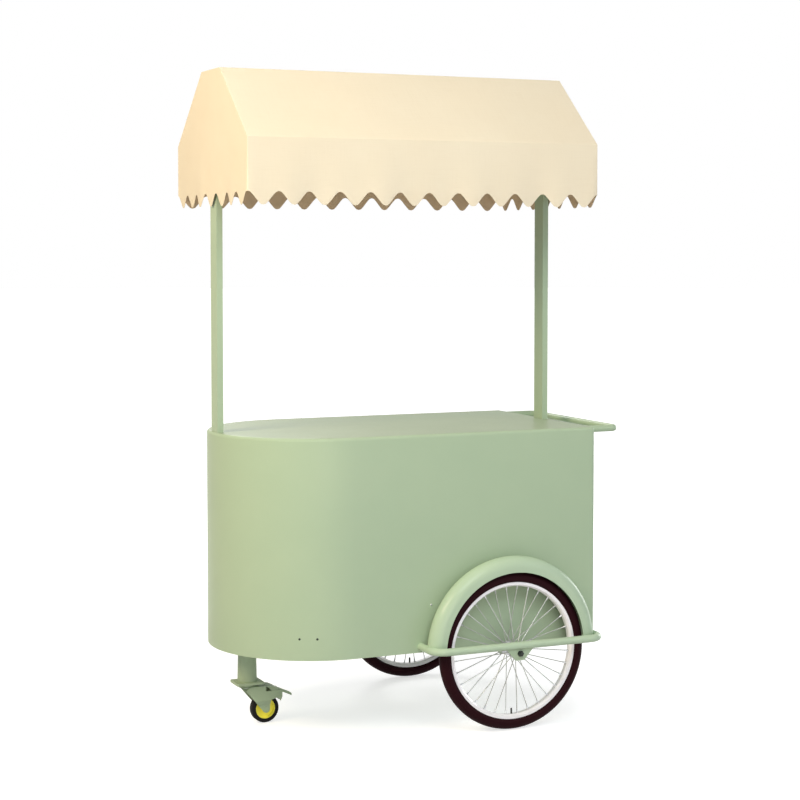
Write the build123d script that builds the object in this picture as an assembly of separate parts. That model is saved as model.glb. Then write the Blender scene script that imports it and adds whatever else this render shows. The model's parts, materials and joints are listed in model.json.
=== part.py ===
"""Snack cart: a sheet steel counter body with a round nose, two spoked wheels, a front caster and a
fabric canopy on two posts. Millimetres, +Z up, +X towards the push handle, -Y is the customer side.
The origin is on the ground, in the middle of the cart's overall length and width."""

import os
from math import atan2, cos, radians, sin, tan

from build123d import *

# Body and counter
body_length = 1200
body_width = 690
counter_height = 950
body_bottom = 260
sheet = 2
rear_corner_radius = 12
counter_edge_radius = 10
counter_depth = 30
rear_return = 45

# Inner frame of square tube
frame_tube = 20
tube_wall = 1.5
frame_rise = 30
floor_gap = 1

# Posts and canopy
post_thickness = 20
post_width = 60
post_wall = 2
post_inset = 8
spigot_height = 120
spigot_clearance = 0.3
canopy_overhang = 5
ridge_height = 2097
ridge_width = 183
eave_height = 1870
tip_height = 1666
fabric = 1.5
scallop_pitch = 100
scallop_flank_angle = 50
scallop_radius = 16.7
canopy_bar = 12
canopy_bar_wall = 1.2

# Push handle
handle_diameter = 22
handle_reach = 120
handle_inset = 45
handle_bend = 20
handle_hole_clearance = 0.5

# Wheels
wheel_diameter = 508
wheel_from_rear = 333
hub_width = 110
tyre_width = 46
carcass = 4
rim_width = 30
rim_outer_diameter = 439
rim_inner_diameter = 412
rim_wall = 2.5
rim_well_depth = 5
rim_bridge = 16
bead_clearance = 0.2
spoke_count = 32
spoke_diameter = 3
hub_barrel_diameter = 24
hub_flange_diameter = 46
hub_flange_thickness = 3
hub_flange_spacing = 56
hub_end_diameter = 34
hub_body_width = 72
bearing_width = 8
bearing_diameter = 26
axle_diameter = 10
running_clearance = 0.05
face_clearance = 0.4
cone_diameter = 17
nut_across_flats = 17
nut_thickness = 8
axle_stub = 4
valve_diameter = 6
valve_length = 18

# Wheel guards
fender_radius = 293
fender_drop = 49
fender_width = 68
fender_rise = 9
fender_sheet = 2
guard_diameter = 24
guard_wall = 1.5
guard_rise = 25
guard_front_reach = 293
guard_rear_reach = 301
guard_bend = 45
axle_plate = 5
axle_plate_top = 112
axle_plate_foot = 30
axle_plate_drop = 22
axle_flange = 35
axle_notch_clearance = 3

# Front leg and caster
caster_from_nose = 114
leg_diameter = 57
leg_foot_diameter = 63
leg_wall = 2.5
leg_plate = 4
leg_plate_length = 90
leg_plate_width = 76
leg_top_plate_size = 110
caster_rail_spacing = 70
caster_height = 136
caster_plate = 4
race_diameter = 50
race_height = 8
swivel_gap = 0.4
kingpin_diameter = 12
kingpin_head_diameter = 20
kingpin_head_height = 5
caster_wheel_diameter = 92
caster_wheel_width = 28
caster_tyre_depth = 13
caster_tyre_rounding = 5
caster_hub_rim = 4
caster_hub_boss = 24
caster_hub_web = 8
caster_trail = 58
fork_sheet = 2.5
fork_side_gap = 5
fork_spread = 9
fork_crease_rise = 29
fork_step_rise = 14
fork_corner_reach = 13
fork_corner_drop = 12
fork_crown_rear = 54
fork_shoulder_drop = 17
fork_tail = 110
fork_tail_rise = 38
fork_knee_reach = 13
fork_knee_rise = 31
fork_hook_width = 13
fork_hook_rise = 24
fork_eye_radius = 12
caster_axle_diameter = 8
caster_nut_across_flats = 13
caster_nut_thickness = 6.5
caster_head_thickness = 4
pedal_gap = 3
pedal_hump_reach = 22
pedal_hump_drop = 3
pedal_lift = 0.8
pedal_flange_slant = 15
pedal_pivot_from_tail = 14
pedal_pivot_drop = 10
pedal_pin_diameter = 5
pedal_pin_stub = 1.5
pedal_sheet = 2.5
pedal_reach = 38
pedal_drop = 35
pedal_tread_width = 26
pedal_tread_sheet = 8
pedal_side_gap = 0.6
pedal_barrel_radius = 9
pedal_arm_width = 7
pedal_shoe_angle = 30
pedal_shoe_gap = 6.5

# Storage doors on the vendor side
door_drop = 60
door_height = 290
door_margin = 60
door_mullion = 40
door_gap = 2.5
door_return = 14
hinge_height = 50
hinge_leaf = 25
hinge_leaf_sheet = 2
hinge_knuckle_diameter = 8
hinge_pin_diameter = 4
hinge_from_edge = 25
knob_diameter = 28
knob_foot_diameter = 16
knob_length = 24
knob_rounding = 6
knob_from_edge = 40

# Places that follow from the driving dimensions
half_width = body_width / 2
nose_x = -(body_length + handle_reach) / 2
rear_x = nose_x + body_length
body_centre_x = (nose_x + rear_x) / 2
nose_centre_x = nose_x + half_width
inner_half_width = half_width - sheet
pan_bottom = counter_height - counter_depth
counter_underside = counter_height - sheet
frame_bottom = body_bottom + frame_rise
floor_underside = frame_bottom + frame_tube
rail_inset = max(counter_edge_radius, 2 * sheet)
rail_y = half_width - rail_inset - frame_tube / 2
rear_rail_face_x = rear_x - rail_inset
rear_rail_x = rear_rail_face_x - frame_tube / 2
bottom_rail_z = frame_bottom + frame_tube / 2
top_rail_z = counter_underside - frame_tube / 2

wheel_x = rear_x - wheel_from_rear
axle_z = wheel_diameter / 2
wheel_y = inner_half_width + hub_width / 2
outer_plate_y = wheel_y + hub_width / 2 + axle_plate / 2
guard_z = axle_z + guard_rise

caster_x = nose_x + caster_from_nose
fork_half_width = caster_wheel_width / 2 + fork_side_gap
fork_top = caster_height - caster_plate - race_height - swivel_gap
caster_axle_z = caster_wheel_diameter / 2
caster_wheel_x = caster_x + caster_trail
fork_upper_half = fork_half_width + fork_spread
fork_crown_end = caster_x + fork_crown_rear
fork_shoulder_z = fork_top - fork_shoulder_drop
fork_tail_x = caster_x + fork_tail
pedal_pivot_x = fork_tail_x - pedal_pivot_from_tail
pedal_pivot_z = fork_shoulder_z - pedal_pivot_drop

canopy_length = body_length
canopy_width = body_width + 2 * canopy_overhang
canopy_front_x = body_centre_x - canopy_length / 2
canopy_rear_x = body_centre_x + canopy_length / 2
front_post_x = nose_x + post_inset + post_thickness / 2
rear_post_x = rear_x - post_inset - post_thickness / 2
roof_slope = atan2(ridge_height - eave_height, (canopy_width - ridge_width) / 2)
handle_leg_y = half_width - handle_inset - handle_diameter / 2
door_top = counter_height - door_drop
door_bottom = door_top - door_height


def roof_points(inset):
    """Eave and ridge corners of the roof's cross-section, moved inwards by an inset."""
    eave_y = canopy_width / 2 - inset
    ridge_z = ridge_height - inset
    slope_shift = inset / cos(roof_slope)
    eave_z = eave_height + inset * tan(roof_slope) - slope_shift
    ridge_y = eave_y - (ridge_z - eave_z) / tan(roof_slope)
    return eave_y, eave_z, ridge_y, ridge_z


eave_rail_y = canopy_width / 2 - fabric - canopy_bar / 2
eave_rail_z = roof_points(fabric)[1] - canopy_bar / 2
ridge_rail_y = roof_points(fabric)[2] - canopy_bar / 2
ridge_rail_z = ridge_height - fabric - canopy_bar / 2


# Shared shapes

def block(x0, x1, y0, y1, z0, z1):
    """Rectangular block between two opposite corners."""
    size = Box(abs(x1 - x0), abs(y1 - y0), abs(z1 - z0))
    return Pos((x0 + x1) / 2, (y0 + y1) / 2, (z0 + z1) / 2) * size


def rod(start, end, radius):
    """Round bar from one point to another."""
    line = Line(start, end)
    return extrude(Plane(line @ 0, z_dir=line % 0) * Circle(radius), line.length)


def square_section(size, wall):
    return Rectangle(size, size) - Rectangle(size - 2 * wall, size - 2 * wall)


def square_tube(start, end, size=frame_tube, wall=tube_wall):
    """Hollow square tube along one of the axes."""
    line = Line(start, end)
    return extrude(Plane(line @ 0, z_dir=line % 0) * square_section(size, wall), line.length)


def swept(section, path):
    """Carry a section square to the start of a path along it."""
    return sweep(Plane(path @ 0, z_dir=path % 0) * section, path=path)


def round_tube(path, diameter, wall):
    """Hollow round tube bent along a path."""
    return swept(Circle(diameter / 2) - Circle(diameter / 2 - wall), path)


def other_side(shape):
    """The same piece on the vendor side."""
    return mirror(shape, Plane.XZ)


def both_sides(shape):
    return Compound(children=[shape, other_side(shape)])


def hex_head(across_flats, thickness):
    """Hexagon on the XY plane, rising along Z."""
    return extrude(RegularPolygon(across_flats / 2, 6, major_radius=False), thickness)


def hex_nut(across_flats, thickness, bore):
    return hex_head(across_flats, thickness) - Cylinder(bore / 2, 4 * thickness)


def along_y(shape, x, y, z):
    """Turn a piece made along Z so that it points towards -Y, and put its base at a point."""
    return Pos(x, y, z) * Rot(90, 0, 0) * shape


# Body

def plan_face(inset):
    """The body's plan: a half-round nose, straight sides and a square rear with small corners."""
    half = half_width - inset
    rear = rear_x - inset
    nose = ThreePointArc((nose_centre_x, half), (nose_centre_x - half, 0), (nose_centre_x, -half))
    corners = [(nose_centre_x, -half), (rear, -half), (rear, half), (nose_centre_x, half)]
    back = FilletPolyline(*corners, radius=max(rear_corner_radius - inset, sheet / 2))
    return make_face([nose, *back.edges()])


def door_spans():
    """Length along X of the two door openings, front one first."""
    start = nose_centre_x + door_margin
    end = rear_x - door_margin
    width = (end - start - door_mullion) / 2
    return [(start, start + width), (end - width, end)]


def make_body_skin():
    """Wrapped sheet with rear returns, door openings and a notch over each axle."""
    wall = extrude(plan_face(0) - plan_face(sheet), pan_bottom - body_bottom)
    skin = Pos(0, 0, body_bottom) * wall
    rear_half = half_width - rear_return
    skin -= block(rear_x - 2 * sheet, rear_x + sheet, -rear_half, rear_half, body_bottom, pan_bottom)
    for start, end in door_spans():
        skin -= block(start, end, inner_half_width - sheet, half_width + sheet, door_bottom, door_top)
    notch_radius = cone_diameter / 2 + axle_notch_clearance
    return skin - rod((wheel_x, -body_width, axle_z), (wheel_x, body_width, axle_z), notch_radius)


def make_rear_panel():
    """Flat panel screwed on the outside of the rear returns."""
    half = half_width - rear_corner_radius
    return block(rear_x, rear_x + sheet, -half, half, body_bottom, pan_bottom)


def pan_block(inset, height):
    """Upper part of the body as a block whose top edge is rounded."""
    solid = extrude(plan_face(inset), height)
    top_edges = solid.faces().sort_by(Axis.Z)[-1].edges()
    return fillet(top_edges, counter_edge_radius - inset)


def make_counter_top():
    """Counter pan with a rounded edge, holes for the handle ends and slots for the post spigots."""
    pan = pan_block(0, counter_depth) - pan_block(sheet, counter_depth - sheet)
    pan = Pos(0, 0, pan_bottom) * pan
    hole_radius = handle_diameter / 2 + handle_hole_clearance
    for side in (-1, 1):
        leg_y = side * handle_leg_y
        pan -= rod((rear_rail_x, leg_y, top_rail_z), (rear_x + sheet, leg_y, top_rail_z), hole_radius)
    for post_x in (front_post_x, rear_post_x):
        pan -= Pos(post_x, 0, counter_height) * spigot_block(2 * sheet, spigot_clearance)
    return pan


def make_floor_panel():
    """Cabinet floor on the bottom rails, cut out round the uprights."""
    floor = Pos(0, 0, floor_underside) * extrude(plan_face(2 * sheet + floor_gap), sheet)
    cut = frame_tube + 2 * floor_gap
    for x, y in upright_places():
        floor -= Pos(x, y, floor_underside) * Box(cut, cut, 4 * sheet)
    return floor


# Inner frame

def upright_places():
    front_x = nose_centre_x + frame_tube / 2
    rear_y = half_width - max(rear_corner_radius, rail_inset) - frame_tube / 2
    return [(front_x, -rail_y), (front_x, rail_y), (rear_rail_x, -rear_y), (rear_rail_x, rear_y)]


def make_side_rails(z):
    end_x = rear_rail_x - frame_tube / 2
    return both_sides(square_tube((nose_centre_x, -rail_y, z), (end_x, -rail_y, z)))


def make_cross_rails(z):
    front_x = nose_centre_x + frame_tube / 2
    front_half = rail_y - frame_tube / 2
    rear_half = half_width - max(rear_corner_radius, rail_inset)
    front = square_tube((front_x, -front_half, z), (front_x, front_half, z))
    rear = square_tube((rear_rail_x, -rear_half, z), (rear_rail_x, rear_half, z))
    return Compound(children=[front, rear])


def make_nose_rail(z):
    """Square tube bent to the half circle of the nose."""
    start = Plane((nose_centre_x, rail_y, z), x_dir=(0, 1, 0), z_dir=(1, 0, 0))
    section = start * square_section(frame_tube, tube_wall)
    return revolve(section, Axis((nose_centre_x, 0, z), (0, 0, 1)), 180)


def make_uprights():
    bottom = bottom_rail_z + frame_tube / 2
    top = top_rail_z - frame_tube / 2
    return Compound(children=[square_tube((x, y, bottom), (x, y, top)) for x, y in upright_places()])


def make_caster_rails():
    """Two tubes from the front cross rail to the nose rail, which carry the front leg."""
    inside_nose = Pos(nose_centre_x, 0, bottom_rail_z) * Cylinder(rail_y - frame_tube / 2, 2 * frame_tube)
    y = caster_rail_spacing / 2
    tube = square_tube((nose_x, -y, bottom_rail_z), (nose_centre_x, -y, bottom_rail_z))
    return both_sides((tube & inside_nose).solid())


# Posts and canopy

def spigot_block(height, grow=0):
    """Tongue that fills the inside of a post, centred on its own foot."""
    thickness = post_thickness - 2 * post_wall - 2 * spigot_clearance + 2 * grow
    width = post_width - 2 * post_wall - 2 * spigot_clearance + 2 * grow
    return Box(thickness, width, 2 * height)


def make_spigots():
    """Tubular tongues welded on the top rails, which the posts slip over."""
    top = counter_height + spigot_height
    spigots = []
    for post_x in (front_post_x, rear_post_x):
        solid = Pos(post_x, 0, counter_underside) * spigot_block(top - counter_underside)
        core_size = post_thickness - 4 * post_wall - 2 * spigot_clearance
        core = Pos(post_x, 0, counter_underside) * Box(core_size, post_width - 4 * post_wall, 3 * top)
        above = block(nose_x, rear_x, -post_width, post_width, counter_underside, top)
        spigots.append(((solid - core) & above).solid())
    return Compound(children=spigots)


def make_post(post_x):
    """Rectangular tube from the counter up to the ridge bar of its gable hoop."""
    outer = Rectangle(post_thickness, post_width)
    inner = Rectangle(post_thickness - 2 * post_wall, post_width - 2 * post_wall)
    height = ridge_height - fabric - canopy_bar - counter_height
    return Pos(post_x, 0, counter_height) * extrude(outer - inner, height)


def roof_face(inset, foot_z):
    """Cross-section of the canopy down to a given height, on the YZ plane."""
    eave_y, eave_z, ridge_y, ridge_z = roof_points(inset)
    right = [(eave_y, foot_z), (eave_y, eave_z), (ridge_y, ridge_z)]
    left = [(-y, z) for y, z in reversed(right)]
    return Plane.YZ * make_face(Polyline(*right, *left, close=True).edges())


def scallop_cutter(length, depth):
    """Slab under a scalloped edge: the wave runs along X and has a valley at both ends."""
    count = max(1, round(length / scallop_pitch))
    step = length / count / 2
    rise = step * tan(radians(scallop_flank_angle))
    tip = tip_height - scallop_radius * (1 / cos(radians(scallop_flank_angle)) - 1)
    wave = [(-length / 2 + (k - 1) * step, tip + rise * (k % 2)) for k in range(2 * count + 3)]
    edge = FilletPolyline(*wave, radius=scallop_radius)
    base = tip - scallop_pitch
    under = Polyline(wave[-1], (wave[-1][0], base), (wave[0][0], base), wave[0])
    face = make_face([*edge.edges(), *under.edges()])
    return extrude(Plane.XZ * face, depth / 2, both=True)


def make_canopy_cover():
    """Sewn fabric roof: two slopes, a flat ridge, closed gables and a scalloped valance all round."""
    foot = tip_height - scallop_radius
    shell = extrude(roof_face(0, foot), canopy_length / 2, both=True)
    shell -= extrude(roof_face(fabric, foot), canopy_length / 2 - fabric, both=True)
    side = scallop_cutter(canopy_length, 3 * fabric)
    end = Rot(0, 0, 90) * scallop_cutter(canopy_width, 3 * fabric)
    for direction in (-1, 1):
        shell -= Pos(0, direction * canopy_width / 2, 0) * side
        shell -= Pos(direction * canopy_length / 2, 0, 0) * end
    return (Pos(body_centre_x, 0, 0) * shell).solid()


def make_roof_rails(y, z):
    """Two square tubes along the canopy, one on each side."""
    start_x = canopy_front_x + fabric
    end_x = canopy_rear_x - fabric
    return both_sides(square_tube((start_x, -y, z), (end_x, -y, z), canopy_bar, canopy_bar_wall))


def rail_space(y, z):
    """The room that a pair of roof rails takes up, for what is cut to fit against them."""
    bar = Pos(body_centre_x, -y, z) * Box(canopy_length, canopy_bar, canopy_bar)
    return both_sides(bar)


def make_gable_bars(post_x):
    """Ridge piece, two rafters and two halves of a tie, welded between the roof rails and the post."""
    foot = eave_rail_z - canopy_bar / 2
    band = roof_face(fabric, foot) - roof_face(fabric + canopy_bar, foot)
    bars = Pos(post_x, 0, 0) * extrude(band, canopy_bar / 2, both=True)
    bars -= rail_space(eave_rail_y, eave_rail_z)
    bars -= rail_space(ridge_rail_y, ridge_rail_z)
    half = canopy_bar / 2
    rail_face_y = eave_rail_y - half
    tie = block(post_x - half, post_x + half, -rail_face_y, -post_width / 2, foot, foot + canopy_bar)
    return Compound(children=[*bars.solids(), tie, other_side(tie)])


# Push handle

def make_push_handle():
    """Bent tube whose ends pass through the counter pan and are welded to the rear rail."""
    bar_x = rear_x + handle_reach - handle_diameter / 2
    ends = [(rear_rail_face_x, -handle_leg_y, top_rail_z), (bar_x, -handle_leg_y, top_rail_z)]
    far_ends = [(x, -y, z) for x, y, z in reversed(ends)]
    return round_tube(FilletPolyline(*ends, *far_ends, radius=handle_bend), handle_diameter, tube_wall)


# Wheels, made on the customer side about the axle, with the wheel's middle plane at y = 0

axle_axis = Axis((0, 0, 0), (0, 1, 0))


def about_axle(face):
    """Turn a section drawn on the YZ plane once round the axle."""
    return revolve(Plane.YZ * face, axle_axis, 360)


def mirrored_outline(points):
    """Closed outline from its half on the +Y side, from inside to outside."""
    left = [(-y, r) for y, r in reversed(points)]
    return make_face(Polyline(*points, *left, close=True).edges())


def ring(inner_radius, outer_radius, width):
    middle = (inner_radius + outer_radius) / 2
    return about_axle(Pos(0, middle) * Rectangle(width, outer_radius - inner_radius))


bead_radius = rim_inner_diameter / 2 + rim_wall + rim_well_depth
rim_edge_radius = rim_outer_diameter / 2
bead_half = rim_width / 2 - rim_wall - bead_clearance


def make_rim():
    """Channel rim: two side walls, bead ledges and a narrow bridge that takes the spokes."""
    inner = rim_inner_diameter / 2
    half = rim_width / 2
    bridge = rim_bridge / 2
    wall_foot = inner + rim_well_depth
    outside = [(bridge, inner), (half, wall_foot), (half, rim_edge_radius)]
    half_inside = half - rim_wall
    inside = [(half_inside, rim_edge_radius), (half_inside, bead_radius), (bridge, inner + rim_wall)]
    return about_axle(mirrored_outline(outside + inside))


def tyre_half(inset):
    """Right half of the tyre's outline: round from the crown to the widest point, then in to the bead."""
    side = tyre_width / 2 - inset
    widest = (wheel_diameter - tyre_width) / 2
    bead = bead_half - inset
    shoulder = rim_edge_radius + bead_clearance + inset
    lean = side * sin(radians(45))
    top = ThreePointArc((0, widest + side), (lean, widest + lean), (side, widest))
    flank = TangentArc((side, widest), (bead, shoulder), tangent=(0, -1))
    return [top, flank, Line((bead, shoulder), (bead, bead_radius))]


def tyre_face(inset):
    half = tyre_half(inset)
    other = [mirror(edge, Plane.YZ) for edge in half]
    bead = bead_half - inset
    return make_face([*half, *other, Line((-bead, bead_radius), (bead, bead_radius))])


def make_tyre():
    """Open carcass whose beads sit inside the rim."""
    return about_axle(tyre_face(0) - tyre_face(carcass))


def make_hub():
    """Barrel with two spoke flanges and a bearing seat at each end."""
    half = hub_body_width / 2
    seat = half - bearing_width
    flange = hub_flange_spacing / 2
    thick = hub_flange_thickness / 2
    barrel = hub_barrel_diameter / 2
    end = hub_end_diameter / 2
    bore = axle_diameter / 2 + tube_wall
    seat_radius = bearing_diameter / 2
    top = hub_flange_diameter / 2
    near = flange - thick
    far = flange + thick
    outside = [(near, barrel), (near, top), (far, top), (far, end), (half, end)]
    inside = [(half, seat_radius), (seat, seat_radius), (seat, bore)]
    return about_axle(mirrored_outline(outside + inside))


def make_bearings():
    """Ball bearings, one in each end of the hub."""
    bore = axle_diameter / 2 + running_clearance
    bearing = ring(bore, bearing_diameter / 2, bearing_width)
    place = (hub_body_width - bearing_width) / 2
    return both_sides(Pos(0, place, 0) * bearing)


def spoke_rod(index):
    """One straight spoke: even ones leave one hub flange and odd ones the other, from either face."""
    angle = radians((index + 0.5) * 360 / spoke_count)
    side = 1 if index % 2 else -1
    face = 1 if (index // 2) % 2 else -1
    outer = rim_inner_diameter / 2 + rim_wall / 2
    inner = (hub_flange_diameter - hub_flange_thickness) / 2 - spoke_diameter
    flange_y = hub_flange_spacing / 2 + face * (hub_flange_thickness + spoke_diameter) / 2
    start = (inner * cos(angle), side * flange_y, inner * sin(angle))
    end = (outer * cos(angle), 0, outer * sin(angle))
    return rod(start, end, spoke_diameter / 2)


def make_spokes(hub, rim):
    """All spokes, trimmed to the flanges and to the rim's bridge."""
    trimmed = [spoke_rod(index) - hub - rim for index in range(spoke_count)]
    return Compound(children=[spoke.solids().sort_by(SortBy.VOLUME)[-1] for spoke in trimmed])


def make_valve(rim):
    """Valve stem that stands inwards from the rim's bridge, at the lowest point."""
    inner = rim_inner_diameter / 2
    stem = rod((0, 0, -inner - rim_wall / 2), (0, 0, valve_length - inner), valve_diameter / 2)
    return (stem - rim).solids().sort_by(SortBy.VOLUME)[-1]


def make_axle():
    """Fixed axle through the inner bracket, the hub and the outer plate, with a stub past each nut."""
    reach = hub_width / 2 + axle_plate + nut_thickness + axle_stub
    return rod((0, -reach, 0), (0, reach, 0), axle_diameter / 2)


def make_cones():
    """Spacers that hold the hub between its two plates."""
    inner = hub_body_width / 2 + face_clearance
    outer = hub_width / 2
    spacer = ring(axle_diameter / 2, cone_diameter / 2, outer - inner)
    return both_sides(Pos(0, (inner + outer) / 2, 0) * spacer)


def make_axle_nuts():
    """Nuts against the outer sides of both plates."""
    nut = hex_nut(nut_across_flats, nut_thickness, axle_diameter)
    return both_sides(along_y(nut, 0, -hub_width / 2 - axle_plate, 0))


def on_left_wheel(shape):
    """Put a piece made about the axle in the place of the wheel on the customer side."""
    return Pos(wheel_x, -wheel_y, axle_z) * shape


# Wheel guards, made on the customer side

def fender_form(inset):
    """Section of the fender filled in: half round above, straight sides down to the lip."""
    half = fender_width / 2 - inset
    spring = fender_radius - fender_width / 2
    lip = fender_radius - fender_drop
    return Pos(0, spring) * Circle(half) + Pos(0, (spring + lip) / 2) * Rectangle(2 * half, spring - lip)


def make_fender():
    """Mudguard arched over the wheel, coped at both ends to sit on the legs of the guard bar."""
    lip = fender_radius - fender_drop
    below_lip = Pos(0, lip - fender_width / 2) * Rectangle(fender_width, fender_width)
    section = fender_form(0) - fender_form(fender_sheet) - below_lip
    arch = Pos(wheel_x, -wheel_y, axle_z + fender_rise) * about_axle(section)
    span = 2 * fender_radius
    lower = block(wheel_x - span, wheel_x + span, -body_width, 0, guard_z - span, guard_z)
    return (arch - lower - swept(Circle(guard_diameter / 2), guard_path())).solid()


def guard_path():
    ends = [wheel_x - guard_front_reach, wheel_x + guard_rear_reach]
    front = [(ends[0], -half_width, guard_z), (ends[0], -outer_plate_y, guard_z)]
    rear = [(ends[1], -outer_plate_y, guard_z), (ends[1], -half_width, guard_z)]
    return FilletPolyline(*front, *rear, radius=guard_bend)


def make_guard_bar():
    """Tube that runs outside the wheel, both ends welded to the body side."""
    return round_tube(guard_path(), guard_diameter, guard_wall)


def plate_outline(top_z, side_top):
    """Tapered plate with a rounded foot below the axle."""
    foot = axle_z - axle_plate_drop
    half_foot = axle_plate_foot / 2
    points = [(side_top, top_z), (half_foot, foot), (-half_foot, foot), (-side_top, top_z)]
    face = make_face(Polyline(*points, close=True).edges())
    lower = face.vertices().group_by(Axis.Y)[0]
    return fillet(lower, half_foot / 2) - Pos(0, axle_z) * Circle(axle_diameter / 2)


def make_outer_axle_plate():
    """Plate coped under the guard bar, which carries the outer end of the axle."""
    outline = plate_outline(guard_z, axle_plate_top / 2)
    plate = extrude(Plane.XZ * outline, axle_plate / 2, both=True)
    plate = Pos(wheel_x, -outer_plate_y, 0) * plate
    start = (wheel_x - axle_plate_top, -outer_plate_y, guard_z)
    end = (wheel_x + axle_plate_top, -outer_plate_y, guard_z)
    return (plate - rod(start, end, guard_diameter / 2)).solid()


def make_inner_axle_bracket():
    """Bent plate under the bottom rail, which carries the inner end of the axle."""
    outline = plate_outline(frame_bottom, axle_plate_top / 2)
    web = Pos(wheel_x, -inner_half_width + axle_plate, 0) * extrude(Plane.XZ * outline, axle_plate)
    half = axle_plate_top / 2
    inner_y = -inner_half_width + axle_flange
    flange_bottom = frame_bottom - axle_plate
    flange = block(wheel_x - half, wheel_x + half, -inner_half_width, inner_y, flange_bottom, frame_bottom)
    return web + flange


# Front leg and caster, on the centre line

def rounded_plate(length, width, corner, bottom, thickness):
    return Pos(caster_x, 0, bottom) * extrude(RectangleRounded(length, width, corner), thickness)


def make_caster_leg():
    """Tapered leg tube with a plate welded to each end: one under the frame, one on the caster."""
    foot_top = caster_height + leg_plate
    head_bottom = frame_bottom - leg_plate
    foot = rounded_plate(leg_plate_length, leg_plate_width, leg_plate, caster_height, leg_plate)
    head = rounded_plate(leg_top_plate_size, leg_top_plate_size, leg_plate, head_bottom, leg_plate)
    height = head_bottom - foot_top
    tube = Cone(leg_foot_diameter / 2, leg_diameter / 2, height)
    tube -= Cone(leg_foot_diameter / 2 - leg_wall, leg_diameter / 2 - leg_wall, height)
    return foot + head + Pos(caster_x, 0, (foot_top + head_bottom) / 2) * tube


def make_caster_plate():
    """Caster plate with the upper ball race pressed out below it."""
    bottom = caster_height - caster_plate
    plate = rounded_plate(leg_plate_length, leg_plate_width, leg_plate, bottom, caster_plate)
    race = Cone(race_diameter / 2, race_diameter / 2 + caster_plate, race_height)
    bore = Cylinder(kingpin_diameter / 2, caster_height)
    return plate + Pos(caster_x, 0, bottom - race_height / 2) * race - Pos(caster_x, 0, bottom) * bore


def make_kingpin():
    """Pin through the plate and the fork crown, with its head under the crown."""
    head_top = fork_top - fork_sheet - swivel_gap
    pin = rod((caster_x, 0, head_top), (caster_x, 0, caster_height), kingpin_diameter / 2)
    head_bottom = head_top - kingpin_head_height
    return pin + rod((caster_x, 0, head_bottom), (caster_x, 0, head_top), kingpin_head_diameter / 2)


def strip_face(points, thickness):
    """Sheet of one thickness hung below a line of points, on the XZ plane."""
    lower = [(x, z - thickness) for x, z in reversed(points)]
    return make_face(Polyline(*points, *lower, close=True).edges())


def across(face, half_width):
    """Extrude a face drawn on the XZ plane to both sides of the centre line."""
    return extrude(Plane.XZ * face, half_width, both=True)


def fork_outline():
    """Side view of a cheek: tapered down to the axle, with a tail that ends in a hook."""
    axle = (caster_wheel_x, caster_axle_z)
    knee = (caster_wheel_x + fork_knee_reach, caster_axle_z + fork_knee_rise)
    corner = (caster_x - fork_corner_reach, fork_top - fork_corner_drop)
    eye = Pos(*axle) * Circle(fork_eye_radius)
    top = Polyline(knee, (fork_crown_end, fork_top), (caster_x, fork_top), corner)
    leg = make_hull([*top.edges(), eye.edge()])
    tail_z = caster_axle_z + fork_tail_rise
    hook = (fork_tail_x - fork_hook_width / 2, caster_axle_z + fork_hook_rise)
    tail = [(fork_tail_x - fork_hook_width, tail_z), hook, (fork_tail_x, tail_z)]
    shoulder = [(fork_tail_x, fork_shoulder_z), (fork_crown_end, fork_shoulder_z)]
    outline = leg + make_face(Polyline(knee, *tail, *shoulder, close=True).edges())
    notch_length = fork_tail_x - fork_crown_end
    notch = Rectangle(notch_length, fork_shoulder_drop, align=(Align.MIN, Align.MIN))
    outline -= Pos(fork_crown_end, fork_shoulder_z) * notch
    outline -= Pos(*axle) * Circle(caster_axle_diameter / 2)
    return outline - Pos(pedal_pivot_x, pedal_pivot_z) * Circle(pedal_pin_diameter / 2)


def make_cheek():
    """Cheek cut from a sheet that is straight above and steps in towards the wheel below."""
    crease = caster_axle_z + fork_crease_rise
    step = caster_axle_z + fork_step_rise
    foot = caster_axle_z - fork_eye_radius
    upper = [(fork_upper_half, fork_top), (fork_upper_half, crease)]
    inside = upper + [(fork_half_width, step), (fork_half_width, foot)]
    outside = [(y + fork_sheet, z) for y, z in reversed(inside)]
    bent = make_face(Polyline(*inside, *outside, close=True).edges())
    front_x = caster_x - fork_corner_reach
    metal = Pos(front_x, 0, 0) * extrude(Plane.YZ * bent, fork_tail_x - front_x)
    return metal & across(fork_outline(), fork_upper_half + fork_sheet)


def make_fork():
    """Pressed fork: a crown with a round nose about the kingpin, and two cheeks bent down from it."""
    bridge = Rectangle(fork_crown_rear, 2 * fork_upper_half, align=(Align.MIN, Align.CENTER))
    plan = Circle(fork_upper_half) + bridge - Circle(kingpin_diameter / 2 + running_clearance)
    crown = Pos(caster_x, 0, fork_top - fork_sheet) * extrude(plan, fork_sheet)
    cheek = make_cheek()
    return (crown + cheek + other_side(cheek)).solid()


def make_caster_axle():
    """Bolt through both cheeks, with its nut."""
    outside = fork_half_width + fork_sheet
    tip = outside + caster_nut_thickness
    centre = (caster_wheel_x, caster_axle_z)
    shaft = rod((centre[0], -outside, centre[1]), (centre[0], tip, centre[1]), caster_axle_diameter / 2)
    head = along_y(hex_head(caster_nut_across_flats, caster_head_thickness), centre[0], -outside, centre[1])
    nut = hex_nut(caster_nut_across_flats, caster_nut_thickness, caster_axle_diameter)
    return Compound(children=[shaft + head, along_y(nut, centre[0], tip, centre[1])])


def make_brake_pin():
    reach = fork_upper_half + fork_sheet + pedal_pin_stub
    start = (pedal_pivot_x, -reach, pedal_pivot_z)
    return rod(start, (pedal_pivot_x, reach, pedal_pivot_z), pedal_pin_diameter / 2)


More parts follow.
